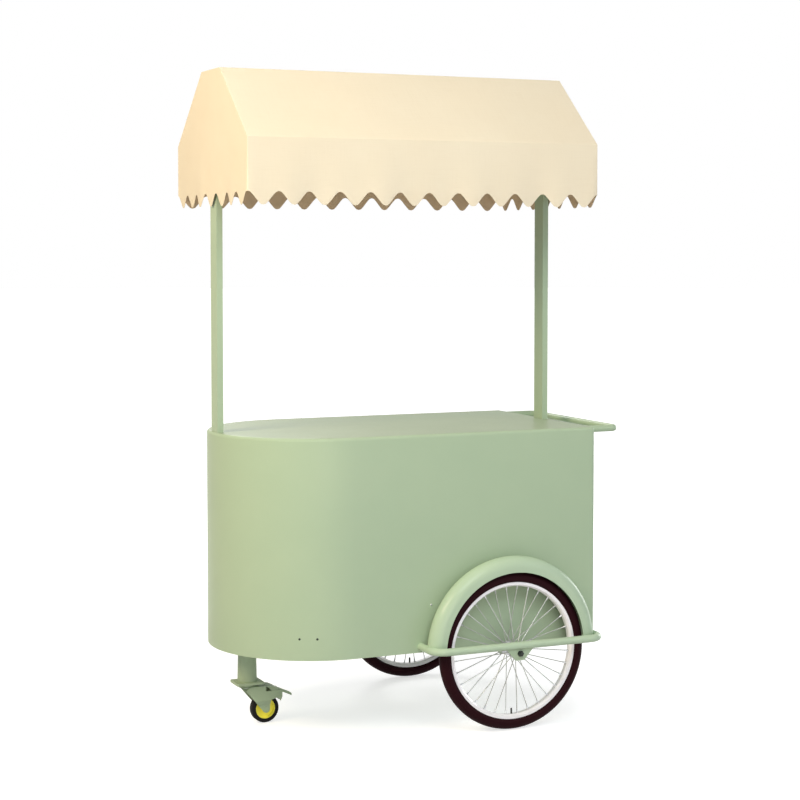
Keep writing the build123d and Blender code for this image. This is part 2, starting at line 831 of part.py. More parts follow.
def make_brake_pedal():
    """Folded lever: a lid with flanges over the tail, a tread, a barrel and an arm to the tyre."""
    front = (fork_crown_end + pedal_gap, fork_top)
    hump = (front[0] + pedal_hump_reach, fork_top - pedal_hump_drop)
    tip = (fork_tail_x + pedal_reach, fork_top - pedal_drop)
    slope = (hump[1] - tip[1]) / (tip[0] - hump[0])
    over_pin = (pedal_pivot_x, hump[1] - (pedal_pivot_x - hump[0]) * slope)
    flange_foot = fork_shoulder_z + pedal_lift
    foot = [(pedal_pivot_x, flange_foot), (front[0] + pedal_flange_slant, flange_foot)]
    flange = make_face(Polyline(front, hump, over_pin, *foot, close=True).edges())
    pivot = Pos(pedal_pivot_x, pedal_pivot_z)
    barrel = pivot * Circle(pedal_barrel_radius)
    web = make_hull([*Line(hump, over_pin).edges(), barrel.edge()])
    angle = radians(pedal_shoe_angle)
    stop = caster_wheel_diameter / 2 + pedal_shoe_gap
    shoe = (caster_wheel_x + stop * cos(angle), caster_axle_z + stop * sin(angle))
    arm_line = Line((pedal_pivot_x, pedal_pivot_z), shoe)
    arm = Plane(arm_line @ 0.5, x_dir=arm_line % 0) * Rectangle(arm_line.length, pedal_arm_width)
    arm -= Pos(caster_wheel_x, caster_axle_z) * Circle(stop)
    wide = fork_upper_half + fork_sheet
    lever = across(strip_face([front, hump, over_pin], pedal_sheet), wide)
    lever += across(flange, wide) - across(flange, fork_upper_half)
    lever += across(barrel, fork_upper_half - pedal_side_gap) + across(arm, caster_wheel_width / 2)
    lever += across(web + strip_face([over_pin, tip], pedal_tread_sheet), pedal_tread_width / 2)
    return lever - across(pivot * Circle(pedal_pin_diameter / 2 + running_clearance), body_width)


def on_caster_axle(shape):
    return Pos(caster_wheel_x, 0, caster_axle_z) * shape


hub_radius = caster_wheel_diameter / 2 - caster_tyre_depth


def make_caster_tyre():
    """Rubber tread moulded round the hub, with rounded shoulders."""
    tyre = ring(hub_radius, caster_wheel_diameter / 2, caster_wheel_width)
    shoulders = tyre.edges().sort_by(SortBy.LENGTH)[-2:]
    return on_caster_axle(fillet(shoulders, caster_tyre_rounding))


def make_caster_hub():
    """Moulded hub: an outer rim, a thin web and a boss that runs on the bolt."""
    bore = caster_axle_diameter / 2 + running_clearance
    boss = caster_hub_boss / 2
    rim = hub_radius - caster_hub_rim
    half = caster_wheel_width / 2 - caster_hub_rim / 2
    web = caster_hub_web / 2
    boss_half = fork_half_width - face_clearance
    boss_outline = [(boss_half, bore), (boss_half, boss), (web, boss)]
    rim_outline = [(web, rim), (half, rim), (half, hub_radius)]
    return on_caster_axle(about_axle(mirrored_outline(boss_outline + rim_outline)))


# Storage doors on the vendor side

def hinge_axis(door):
    """X and Y of a door's hinge line: the front door hangs at its front edge, the rear one at its rear."""
    start, end = door_spans()[door]
    x = (start, end)[door] + (1, -1)[door] * door_gap / 2
    return x, half_width + hinge_knuckle_diameter / 2


def hinge_feet():
    """Height of the foot of the upper and the lower hinge."""
    return [door_bottom + hinge_from_edge, door_top - hinge_from_edge - hinge_height]


def make_door(door):
    """Sheet door with its edges turned in, flush with the body side."""
    start, end = door_spans()[door]
    outer_y = half_width
    inner_y = half_width - sheet - door_return
    x0, x1 = start + door_gap, end - door_gap
    z0, z1 = door_bottom + door_gap, door_top - door_gap
    tray = block(x0, x1, inner_y, outer_y, z0, z1)
    return tray - block(x0 + sheet, x1 - sheet, inner_y, inner_half_width, z0 + sheet, z1 - sheet)


def make_hinge_leaf(door, foot, on_door):
    """One leaf: its knuckle is the upper half of the hinge on the door, the lower half on the body."""
    x, y = hinge_axis(door)
    towards_door = (1, -1)[door] * (1 if on_door else -1)
    edge_x = x + towards_door * hinge_leaf
    leaf = block(x, edge_x, half_width, half_width + hinge_leaf_sheet, foot, foot + hinge_height)
    middle = foot + hinge_height / 2
    knuckle_radius = hinge_knuckle_diameter / 2
    lower = (foot, middle - face_clearance / 2)
    upper = (middle + face_clearance / 2, foot + hinge_height)
    own, free = (upper, lower) if on_door else (lower, upper)
    cut_ends = [(x, y, free[0] - face_clearance), (x, y, free[1] + face_clearance)]
    cut = rod(*cut_ends, knuckle_radius + face_clearance)
    knuckle = rod((x, y, own[0]), (x, y, own[1]), knuckle_radius)
    play = running_clearance if on_door else 0
    bore = rod((x, y, foot - hinge_height), (x, y, foot + 2 * hinge_height), hinge_pin_diameter / 2 + play)
    return leaf - cut + knuckle - bore


def make_door_leaves(door):
    return Compound(children=[make_hinge_leaf(door, foot, True) for foot in hinge_feet()])


def make_body_leaves():
    leaves = [make_hinge_leaf(door, foot, False) for door in (0, 1) for foot in hinge_feet()]
    return Compound(children=leaves)


def make_hinge_pins():
    pins = []
    for door in (0, 1):
        x, y = hinge_axis(door)
        for foot in hinge_feet():
            pins.append(rod((x, y, foot), (x, y, foot + hinge_height), hinge_pin_diameter / 2))
    return Compound(children=pins)


def make_knob(door):
    """Turned knob near the door's free edge."""
    start, end = door_spans()[door]
    x = (end - knob_from_edge, start + knob_from_edge)[door]
    z = (door_bottom + door_top) / 2
    foot = knob_foot_diameter / 2
    grip = knob_diameter / 2
    neck = knob_length / 2
    stem = TangentArc((grip, neck), (foot, 0), tangent=(-1, 0))
    crown = FilletPolyline((grip, neck), (grip, knob_length), (0, knob_length), radius=knob_rounding)
    axis_line = Line((0, knob_length), (0, 0))
    outline = make_face([Line((0, 0), (foot, 0)), stem, *crown.edges(), axis_line])
    knob = revolve(Plane.XZ * outline, Axis.Z, 360)
    return Pos(x, half_width, z) * Rot(-90, 0, 0) * knob


# All pieces

def all_pieces():
    pieces = {
        "body_skin": make_body_skin(),
        "rear_panel": make_rear_panel(),
        "counter_top": make_counter_top(),
        "floor_panel": make_floor_panel(),
        "bottom_side_rails": make_side_rails(bottom_rail_z),
        "bottom_cross_rails": make_cross_rails(bottom_rail_z),
        "bottom_nose_rail": make_nose_rail(bottom_rail_z),
        "top_side_rails": make_side_rails(top_rail_z),
        "top_cross_rails": make_cross_rails(top_rail_z),
        "top_nose_rail": make_nose_rail(top_rail_z),
        "frame_uprights": make_uprights(),
        "caster_rails": make_caster_rails(),
        "post_spigots": make_spigots(),
        "front_post": make_post(front_post_x),
        "rear_post": make_post(rear_post_x),
        "eave_rails": make_roof_rails(eave_rail_y, eave_rail_z),
        "ridge_rails": make_roof_rails(ridge_rail_y, ridge_rail_z),
        "front_gable_bars": make_gable_bars(front_post_x),
        "rear_gable_bars": make_gable_bars(rear_post_x),
        "canopy_cover": make_canopy_cover(),
        "push_handle": make_push_handle(),
        "caster_leg": make_caster_leg(),
        "caster_plate": make_caster_plate(),
        "caster_kingpin": make_kingpin(),
        "caster_fork": make_fork(),
        "caster_axle": make_caster_axle(),
        "caster_tyre": make_caster_tyre(),
        "caster_hub": make_caster_hub(),
        "brake_pin": make_brake_pin(),
        "brake_pedal": make_brake_pedal(),
        "body_hinge_leaves": make_body_leaves(),
        "hinge_pins": make_hinge_pins(),
    }
    for door, name in enumerate(("front_door", "rear_door")):
        pieces[name] = make_door(door)
        pieces[name + "_hinge_leaves"] = make_door_leaves(door)
        pieces[name + "_knob"] = make_knob(door)
    hub = make_hub()
    rim = make_rim()
    wheel = {
        "hub": hub,
        "rim": rim,
        "tyre": make_tyre(),
        "spokes": make_spokes(hub, rim),
        "wheel_bearings": make_bearings(),
        "valve": make_valve(rim),
        "axle": make_axle(),
    }
    for node, shape in wheel.items():
        pieces["left_" + node] = on_left_wheel(shape)
    pieces["left_fender"] = make_fender()
    pieces["left_guard_bar"] = make_guard_bar()
    for node in [name for name in pieces if name.startswith("left_")]:
        pieces[node.replace("left_", "right_")] = other_side(pieces[node])
    pieces["axle_cones"] = both_sides(on_left_wheel(make_cones()))
    pieces["axle_nuts"] = both_sides(on_left_wheel(make_axle_nuts()))
    pieces["outer_axle_plates"] = both_sides(make_outer_axle_plate())
    pieces["inner_axle_brackets"] = both_sides(make_inner_axle_bracket())
    return pieces


os.makedirs("parts", exist_ok=True)
for name, shape in all_pieces().items():
    export_step(shape, f"parts/{name}.step")
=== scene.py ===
import json
from math import atan2, cos, exp, pi, radians, sin, tan

import bmesh
import bpy
from mathutils import Matrix, Vector


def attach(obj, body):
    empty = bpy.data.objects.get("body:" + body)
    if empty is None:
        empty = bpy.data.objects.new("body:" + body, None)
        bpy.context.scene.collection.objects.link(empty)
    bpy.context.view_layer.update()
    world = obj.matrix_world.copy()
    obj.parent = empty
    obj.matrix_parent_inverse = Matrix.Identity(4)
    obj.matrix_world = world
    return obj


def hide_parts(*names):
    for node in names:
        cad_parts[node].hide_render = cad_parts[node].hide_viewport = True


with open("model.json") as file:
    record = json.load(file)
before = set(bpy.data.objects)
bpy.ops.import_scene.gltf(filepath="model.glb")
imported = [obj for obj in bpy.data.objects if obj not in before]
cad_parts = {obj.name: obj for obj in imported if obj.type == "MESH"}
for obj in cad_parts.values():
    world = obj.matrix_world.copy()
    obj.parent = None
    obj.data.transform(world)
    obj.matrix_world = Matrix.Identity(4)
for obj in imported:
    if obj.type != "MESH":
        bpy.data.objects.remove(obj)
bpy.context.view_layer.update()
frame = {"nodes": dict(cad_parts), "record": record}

nodes = frame["nodes"]
scene = bpy.context.scene


# Sizes of the wheels, as in the solids, in metres

tyre_radius = 0.254
rim_flank_radius = 0.2195
rim_edge_radius = 0.2225
rim_bed_radius = 0.2060
caster_radius = 0.046
left_axle_point = (0.207, -0.398, tyre_radius)
right_axle_point = (0.207, 0.398, tyre_radius)
caster_axle_point = (-0.488, 0.0, caster_radius)


# Finishes

class Value:
    """A shader socket that takes part in Python sums."""

    def __init__(self, finish, socket):
        self.finish = finish
        self.socket = socket

    def sum(self, operation, first, second=0.0):
        return self.finish.node("ShaderNodeMath", {"operation": operation}, {0: first, 1: second})

    def __add__(self, other):
        return self.sum("ADD", self, other)

    def __sub__(self, other):
        return self.sum("SUBTRACT", self, other)

    def __rsub__(self, other):
        return self.sum("SUBTRACT", other, self)

    def __mul__(self, other):
        return self.sum("MULTIPLY", self, other)

    def __pow__(self, other):
        return self.sum("POWER", self, other)

    def __abs__(self):
        return self.sum("ABSOLUTE", self)

    __radd__ = __add__
    __rmul__ = __mul__

    def sine(self):
        return self.sum("SINE", self)

    def most(self, other):
        return self.sum("MAXIMUM", self, other)

    def rise(self, low, high):
        """0 below low, 1 above high, and a smooth step between."""
        return self.finish.node("ShaderNodeMapRange", {"interpolation_type": "SMOOTHSTEP"},
                                {"Value": self, "From Min": low, "From Max": high})


class Finish:
    """A material of one principled shader, and the nodes that feed it."""

    def __init__(self, name, **shader_values):
        self.material = bpy.data.materials.new(name)
        self.material.use_nodes = True
        self.tree = self.material.node_tree
        self.shader = self.tree.nodes["Principled BSDF"]
        for socket, value in shader_values.items():
            self.feed(socket.replace("_", " ").title().replace("Ior", "IOR"), value)

    def feed(self, socket, value):
        self.join(value, self.shader.inputs[socket])

    def join(self, value, socket):
        if isinstance(value, Value):
            self.tree.links.new(value.socket, socket)
        elif hasattr(value, "__len__") and len(value) == 3 and socket.type == "RGBA":
            socket.default_value = (*value, 1)
        else:
            socket.default_value = value

    def node(self, kind, settings=None, inputs=None, output=0):
        made = self.tree.nodes.new(kind)
        for name, setting in (settings or {}).items():
            setattr(made, name, setting)
        for name, value in (inputs or {}).items():
            self.join(value, made.inputs[name])
        return Value(self, made.outputs[output])

    def place(self):
        """The point on the object, in metres."""
        return self.node("ShaderNodeTexCoord", output="Object")

    def facing(self):
        """The way that the surface looks, on the object's own axes."""
        return self.node("ShaderNodeTexCoord", output="Normal")

    def axes(self, vector):
        parted = self.node("ShaderNodeSeparateXYZ", inputs={0: vector})
        sockets = parted.socket.node.outputs
        return [Value(self, sockets[axis]) for axis in ("X", "Y", "Z")]

    def noise(self, vector, scale, detail=2.0, roughness=0.5):
        return self.node("ShaderNodeTexNoise", {},
                         {"Vector": vector, "Scale": scale, "Detail": detail, "Roughness": roughness})

    def stretch(self, vector, by):
        return self.node("ShaderNodeVectorMath", {"operation": "MULTIPLY"}, {0: vector, 1: by})

    def mix(self, part, first, second):
        """first where part is 0 and second where it is 1, both colours."""
        inputs = {0: part, 6: first, 7: second}
        return self.node("ShaderNodeMix", {"data_type": "RGBA"}, inputs, output=2)

    def bump(self, height, distance, strength):
        inputs = {"Height": height, "Distance": distance, "Strength": strength}
        self.feed("Normal", self.node("ShaderNodeBump", {}, inputs))


def tone(red, green, blue):
    """A colour as it looks on a screen, from 0 to 255, as the linear colour that a shader takes."""
    return tuple(((part / 255 + 0.055) / 1.055) ** 2.4 for part in (red, green, blue))


def sage_paint(name, deep, pale, gloss, blur, top_shade=0.0):
    """Baked satin paint on steel: a soft orange peel, uneven depth, dust low down and fine scuffs.

    Faces that look up are darkened by painted shade, in the amount asked for.
    """
    top_shade_tone = tone(118, 126, 98)
    speck_tone = tone(198, 210, 184)
    dust_tone = tone(146, 150, 126)
    scuff_tone = tone(206, 214, 196)
    dust_foot, dust_top = 0.02, 0.42
    peel_depth = 0.00016

    paint = Finish(name, specular_ior_level=0.06, specular_tint=(0.66, 0.66, 0.46), coat_roughness=blur)
    place = paint.place()
    height = paint.axes(place)[2]
    colour = paint.mix(paint.noise(place, 2.2, 3, 0.55), deep, pale)
    facing_up = paint.axes(paint.facing())[2]
    # Painted shade: faces that look up are darkened towards a grey-green, in patches.
    top_shade_part = top_shade * facing_up.rise(0.94, 0.999) * (0.75 + 0.4 * paint.noise(place, 5, 4, 0.6))
    colour = paint.mix(top_shade_part, colour, top_shade_tone)
    speck = paint.noise(place, 55, 4, 0.7)
    colour = paint.mix(speck.rise(0.62, 0.8) * 0.16, colour, speck_tone)
    dust = (1 - height.rise(dust_foot, dust_top)) * paint.noise(place, 9, 5, 0.65).rise(0.42, 0.75)
    colour = paint.mix(dust * 0.3, colour, dust_tone)
    hairs = paint.noise(paint.stretch(place, (70, 70, 9)), 6, 2, 0.6)
    scuff = hairs.rise(0.71, 0.76) * paint.noise(place, 3.1, 1).rise(0.5, 0.7)
    paint.feed("Base Color", paint.mix(scuff * 0.22, colour, scuff_tone))
    paint.feed("Roughness", 0.36 + 0.12 * speck + 0.2 * dust + 0.14 * scuff)
    paint.feed("Coat Weight", gloss * (1 - 0.7 * dust))
    peel = paint.noise(place, 620, 2, 0.5) + 2.2 * paint.noise(place, 130, 2, 0.5)
    paint.bump(peel, peel_depth, 0.5)
    return paint.material


def canopy_cloth(name, pale, deep, shade):
    """Coated canvas: a plain weave, slubs, and the colour a little uneven from the sun."""
    darkening_foot, darkening_top = 1.66, 1.76
    thread_pitch = 0.0016
    weave_depth = 0.0003

    cloth = Finish(name, sheen_weight=0.12, sheen_roughness=0.6, ior=1.45)
    place = cloth.place()
    along, across, height = cloth.axes(place)
    worn = cloth.noise(place, 2.6, 3, 0.6)
    long_slub = cloth.noise(cloth.stretch(place, (14, 420, 420)), 1, 2)
    cross_slub = cloth.noise(cloth.stretch(place, (420, 14, 14)), 1, 2)
    slub = long_slub + cross_slub
    colour = cloth.mix(worn, deep, pale)
    colour = cloth.mix((slub - 0.8).rise(0.1, 0.6) * 0.12, colour, shade)
    # Darker in patches towards the valance's lower edge.
    low_edge = 1 - height.rise(darkening_foot, darkening_top)
    lower_darkening = low_edge * cloth.noise(place, 7, 4, 0.6).rise(0.45, 0.8)
    cloth.feed("Base Color", cloth.mix(lower_darkening * 0.25, colour, shade))
    cloth.feed("Roughness", 0.72 + 0.16 * worn)
    thread = 2 * pi / thread_pitch
    weave = (along * thread).sine() * (across * thread + height * thread).sine()
    cloth.bump(0.35 * weave + 0.5 * slub, weave_depth, 0.3)
    return cloth.material


def from_axle(finish, axle):
    """Distance from a wheel's axle, angle about it and distance along it."""
    along, across, height = finish.axes(finish.place())
    forward = along - axle[0]
    upward = height - axle[2]
    radius = (forward * forward + upward * upward) ** 0.5
    angle = finish.node("ShaderNodeMath", {"operation": "ARCTAN2"}, {0: upward, 1: forward})
    return radius, angle, abs(across - axle[1])


def tyre_rubber(name, axle, outer, rubber, dusty):
    """Moulded rubber: rings on the side walls, a fine file tread, and dust in the tread."""
    ring_pitch = 0.0042
    tread_bars = 168
    tread_slant = 700
    mould_depth = 0.0005

    tyre = Finish(name, specular_ior_level=0.06)
    place = tyre.place()
    radius, angle, aside = from_axle(tyre, axle)
    tread = radius.rise(outer * 0.962, outer * 0.975)
    blotch = tyre.noise(place, 30, 4, 0.65)
    dust = (0.25 + 0.75 * tread) * blotch.rise(0.4, 0.75)
    tyre.feed("Base Color", tyre.mix(dust * 0.3, rubber, dusty))
    tyre.feed("Roughness", 0.58 + 0.25 * dust)
    rings = (radius * (2 * pi / ring_pitch)).sine() * (1 - tread)
    bars = (angle * tread_bars + aside * tread_slant).sine() * tread
    tyre.bump(0.5 * rings + bars + 0.5 * tyre.noise(place, 420, 2), mould_depth, 0.6)
    return tyre.material


def rim_paint(name, axle):
    """Gloss pale enamel on a rolled rim, with brake dust along its edges."""
    brake_dust = tone(150, 132, 130)
    ripple_depth = 0.0002

    rim = Finish(name, coat_weight=0.5, coat_roughness=0.12, ior=1.5)
    place = rim.place()
    radius = from_axle(rim, axle)[0]
    grime = rim.noise(place, 16, 5, 0.65)
    colour = rim.mix(grime, tone(240, 236, 237), tone(251, 248, 249))
    edge = radius.rise(rim_flank_radius, rim_edge_radius)
    rim.feed("Base Color", rim.mix(edge * grime.rise(0.4, 0.7) * 0.5, colour, brake_dust))
    rim.feed("Roughness", 0.22 + 0.2 * grime)
    rim.bump(rim.noise(place, 260, 2), ripple_depth, 0.3)
    return rim.material


def plated_steel(name, colour, dull, roughness):
    """Plated steel with fine draw marks and a faint bloom."""
    mark_depth = 0.0002

    steel = Finish(name, metallic=1.0)
    place = steel.place()
    bloom = steel.noise(place, 34, 4, 0.6)
    marks = steel.noise(steel.stretch(place, (300, 60, 300)), 2.4, 2)
    steel.feed("Base Color", steel.mix(bloom.rise(0.35, 0.8), colour, dull))
    steel.feed("Roughness", roughness + 0.18 * bloom)
    steel.bump(marks, mark_depth, 0.25)
    return steel.material


def moulded_plastic(name, colour, shade, roughness):
    """Moulded plastic with a fine grain and rubbed high spots."""
    grain_depth = 0.00012

    plastic = Finish(name, ior=1.47)
    place = plastic.place()
    rub = plastic.noise(place, 48, 3, 0.6)
    plastic.feed("Base Color", plastic.mix(rub.rise(0.45, 0.8) * 0.5, colour, shade))
    plastic.feed("Roughness", roughness + 0.15 * rub)
    plastic.bump(plastic.noise(place, 900, 2), grain_depth, 0.4)
    return plastic.material


body_tones = (tone(163, 183, 154), tone(179, 195, 164))
# The fenders and guard bars get a paler copy of the green: partly a paler paint and partly painted
# light, standing in for the overhead light on them.
fender_pale_and_lit_tones = (tone(170, 192, 164), tone(186, 204, 174))
green = sage_paint("sage_paint", *body_tones, gloss=0.10, blur=0.2)
# The counter top's paint carries painted shade on its faces that look up.
top_shaded_green = sage_paint("counter_paint", *body_tones, gloss=0.06, blur=0.2, top_shade=0.42)
pale_and_lit_green = sage_paint("pale_sage_paint", *fender_pale_and_lit_tones, gloss=0.30, blur=0.10)
cloth_outside = canopy_cloth("cream_canvas", tone(233, 221, 195), tone(226, 211, 182),
                             tone(209, 190, 157))
# The canopy's inner side is a darker, warmer copy of the cream canvas: painted shade under the canopy.
shaded_cloth_inside = canopy_cloth("canvas_back_painted_shade", tone(226, 202, 170), tone(214, 188, 156), tone(190, 164, 132))
drawn = plated_steel("drawn_wire", (0.44, 0.45, 0.42), (0.30, 0.305, 0.28), 0.24)
zinc = plated_steel("zinc_plate", (0.6, 0.61, 0.62), (0.42, 0.42, 0.43), 0.32)
blacked = plated_steel("blacked_steel", (0.055, 0.065, 0.055), (0.03, 0.03, 0.03), 0.36)
tyre_tones = (tone(36, 9, 15), tone(58, 34, 35))
caster_tones = (tone(30, 29, 30), tone(86, 82, 76))
hub_plastic = moulded_plastic("yellow_plastic", tone(255, 246, 84), tone(250, 228, 56), 0.28)
knob_plastic = moulded_plastic("black_plastic", tone(34, 34, 36), tone(62, 62, 64), 0.35)
valve_rubber = moulded_plastic("valve_rubber", tone(62, 60, 58), tone(90, 86, 82), 0.6)
caster_rubber = tyre_rubber("caster_rubber", caster_axle_point, caster_radius, *caster_tones)

finish_of_slot = {
    "sage_green_paint": green,
    "bright_steel": zinc,
    "dark_steel": blacked,
    "black_plastic": knob_plastic,
    "black_rubber": valve_rubber,
    "yellow_plastic": hub_plastic,
    "cream_fabric": cloth_outside,
}
finish_of_node = {
    "caster_tyre": caster_rubber,
    "caster_axle": green,
    "brake_pin": green,
    "counter_top": top_shaded_green,
}
for side, axle in (("left", left_axle_point), ("right", right_axle_point)):
    finish_of_node[side + "_tyre"] = tyre_rubber(side + "_tyre_rubber", axle, tyre_radius, *tyre_tones)
    finish_of_node[side + "_rim"] = rim_paint(side + "_rim_enamel", axle)
    finish_of_node[side + "_spokes"] = drawn
    # Fenders and guard bars take the paler green, which is partly painted light.
    finish_of_node[side + "_fender"] = pale_and_lit_green
    finish_of_node[side + "_guard_bar"] = pale_and_lit_green
for subpart in frame["record"]["subparts"]:
    name = subpart["node"]
    finish = finish_of_node.get(name) or finish_of_slot[subpart["material_slot"]]
    nodes[name].data.materials.clear()
    nodes[name].data.materials.append(finish)


# Canopy

canopy_front = -0.660
canopy_rear = 0.540
canopy_half = 0.350
ridge_half = 0.0915
ridge_height = 2.097
eave_height = 1.870
tip_height = 1.666
scallop_pitch = 0.100
scallop_flank = radians(50)
scallop_round = 0.0167
columns_per_scallop = 12
valance_rows = 10
cloth_thickness = 0.0009
fold_width = 0.0013
fold_angle = radians(24)
bar_width = 0.03
hold_length = 0.12
ridge_sag = 0.003
slope_sag = 0.0045
valance_reach = 0.0030


def scallop_edge(distance):
    """Height of the scalloped edge at a distance from a corner, where it has a valley."""
    half = scallop_pitch / 2
    aside = abs((distance + half) % scallop_pitch - half)
    drop = scallop_round / cos(scallop_flank)
    tip = tip_height - drop + scallop_round
    reach = scallop_round * sin(scallop_flank)
    if aside < reach:
        return tip + half * tan(scallop_flank) - drop + (scallop_round ** 2 - aside ** 2) ** 0.5
    if half - aside < reach:
        return tip + drop - (scallop_round ** 2 - (half - aside) ** 2) ** 0.5
    return tip + (half - aside) * tan(scallop_flank)


def roof_height(across):
    fall = (ridge_height - eave_height) / (canopy_half - ridge_half)
    return ridge_height - max(0.0, abs(across) - ridge_half) * fall


def slack(along, across):
    """How far the cloth sinks between the rails and the gable bars."""
    span = canopy_rear - canopy_front
    end = min(along - canopy_front, canopy_rear - along)
    hold = 1 - exp(-max(0.0, end - bar_width) / hold_length)
    if abs(across) < ridge_half:
        return ridge_sag * hold * cos(pi / 2 * across / ridge_half) ** 2
    part = (abs(across) - ridge_half) / (canopy_half - ridge_half)
    ripple = 1 + 0.35 * sin(2 * pi * along / span * 2.5 + 3 * part + across)
    return slope_sag * hold * sin(pi * part) ** 2 * ripple


def valance_swing(distance, down):
    """How far the loose edge hangs out of line, more towards its tips."""
    waves = sin(distance * 17.3 + 0.6) + 0.5 * sin(distance * 41.0 + 2.1)
    return valance_reach * down ** 1.4 * waves


def canopy_sheet():
    """One continuous sheet: slopes, ridge, gables and a scalloped valance that share their edges."""
    step = scallop_pitch / columns_per_scallop
    along_count = round((canopy_rear - canopy_front) / step)
    across_count = round(2 * canopy_half / step)
    slope_lean = atan2(ridge_height - eave_height, canopy_half - ridge_half)
    made = bmesh.new()
    points = {}

    def point(along, across, down):
        """The sheet's point in a column along, a column across and a row down the valance or gable."""
        key = (along, across, down)
        if key in points:
            return points[key]
        x = canopy_front + along * step
        y = across * step - canopy_half
        top = roof_height(y)
        if down == 0:
            sink = slack(x, y)
            lean = slope_lean if abs(y) > ridge_half else 0
            inward = -1 if y > 0 else 1
            spot = (x, y + inward * sink * sin(lean), top - sink * cos(lean))
        else:
            part = down / valance_rows
            on_side = across in (0, across_count)
            distance = along * step if on_side else across * step
            z = top + (scallop_edge(distance) - top) * part
            corner = along in (0, along_count) and on_side
            hang = max(0.0, eave_height - z) / (eave_height - tip_height)
            swing = 0 if corner else valance_swing(distance, hang)
            if on_side:
                y += swing * (1 if across else -1)
            else:
                x += swing * (1 if along else -1)
            spot = (x, y, z)
        points[key] = made.verts.new(spot)
        return points[key]

    for along in range(along_count):
        for across in range(across_count):
            cells = [(along, across), (along + 1, across), (along + 1, across + 1), (along, across + 1)]
            made.faces.new([point(*cell, 0) for cell in cells])
        for down in range(valance_rows):
            for across in (0, across_count):
                cells = [(along, down), (along, down + 1), (along + 1, down + 1), (along + 1, down)]
                made.faces.new([point(a, across, d) for a, d in cells])
    for across in range(across_count):
        for down in range(valance_rows):
            for along in (0, along_count):
                cells = [(across, down), (across, down + 1), (across + 1, down + 1), (across + 1, down)]
                made.faces.new([point(along, a, d) for a, d in cells])

    bmesh.ops.recalc_face_normals(made, faces=made.faces)
    top_face = max(made.faces, key=lambda face: face.calc_center_median().z)
    if top_face.normal.z < 0:
        bmesh.ops.reverse_faces(made, faces=made.faces)
    for face in made.faces:
        face.smooth = True
    mesh = bpy.data.meshes.new("canopy_cloth")
    made.to_mesh(mesh)
    made.free()
    mesh.materials.append(cloth_outside)
    mesh.materials.append(shaded_cloth_inside)
    sheet = bpy.data.objects.new("canopy_cloth", mesh)
    scene.collection.objects.link(sheet)
    folds = sheet.modifiers.new("folds", "BEVEL")
    folds.width = fold_width
    folds.segments = 3
    folds.limit_method = "ANGLE"
    folds.angle_limit = fold_angle
    thick = sheet.modifiers.new("cloth", "SOLIDIFY")
    thick.thickness = cloth_thickness
    thick.offset = -1
    # The inner side takes the darker copy of the canvas, which is painted shade.
    thick.material_offset = 1
    thick.material_offset_rim = 0
    crisp = sheet.modifiers.new("crisp_edges", "WEIGHTED_NORMAL")
    crisp.weight = 85
    return sheet


canopy = canopy_sheet()
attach(canopy, "cart")
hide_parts("canopy_cover")


# Small fasteners

def lathe(made, outline, placing, sides):
    """Adds a turned piece to a mesh: outline is its (radius, height) points from its foot to its top."""
    turns = [2 * pi * k / sides for k in range(sides)]
    rings = []
    for radius, height in outline:
        spots = [(radius * cos(turn), radius * sin(turn), height) for turn in turns]
        rings.append([made.verts.new(placing @ Vector(spot)) for spot in spots])
    for low, high in zip(rings, rings[1:]):
        for k in range(sides):
            following = (k + 1) % sides
            face = made.faces.new([low[k], low[following], high[following], high[k]])
            face.smooth = True
    made.faces.new(rings[0][::-1])
    made.faces.new(rings[-1])


def standing(place, way):
    """Placing of a turned piece whose foot is at place and whose top points along way."""
    return Matrix.Translation(place) @ Vector(way).to_track_quat("Z", "Y").to_matrix().to_4x4()


def turned_pieces(name, outline, placings, material, body, sides=20):
    """One object of equal turned pieces, which rides on a body."""
    made = bmesh.new()
    for placing in placings:
        lathe(made, outline, placing, sides)
    mesh = bpy.data.meshes.new(name)
    made.to_mesh(mesh)
    made.free()
    mesh.materials.append(material)
    piece = bpy.data.objects.new(name, mesh)
    scene.collection.objects.link(piece)
    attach(piece, body)


# Outlines of (radius, height)
round_head = [(0.0036, -0.0005), (0.0036, 0.0003), (0.0031, 0.0012), (0.0018, 0.0018), (0.0009, 0.0019)]
flush_head = [(0.0042, -0.0004), (0.0042, 0.0001), (0.0038, 0.0003), (0.0016, 0.0003), (0.0013, 0.0)]
nipple = [(0.0032, 0.0), (0.0032, 0.0016), (0.0027, 0.0022), (0.0025, 0.0110), (0.0017, 0.0120)]

nose_centre = -0.315
skin_radius = 0.345
nose_screw_turns = (118.5, 109.3)
nose_screw_height = 0.328
side_screw_x = -0.051
side_screw_height = 0.4096
nose_placings = []
side_placings = []
for side in (-1, 1):
    for turn in nose_screw_turns:
        outward = Vector((cos(radians(turn)), side * sin(radians(turn)), 0))
        foot = Vector((nose_centre, 0, nose_screw_height)) + skin_radius * outward
        nose_placings.append(standing(foot, outward))
    side_placings.append(standing((side_screw_x, side * skin_radius, side_screw_height), (0, side, 0)))
turned_pieces("skin_screws", round_head, nose_placings, blacked, "cart")
turned_pieces("side_screws", round_head, side_placings, zinc, "cart")

leaf_face = 0.347
hinge_rows = (0.637, 0.663, 0.827, 0.853)
hinge_columns = {"cart": (-0.2685, 0.4935), "front_door": (-0.2390,), "rear_door": (0.4640,)}
for body, columns in hinge_columns.items():
    placings = [standing((x, leaf_face, z), (0, 1, 0)) for x in columns for z in hinge_rows]
    turned_pieces(body + "_hinge_screws", flush_head, placings, zinc, body)

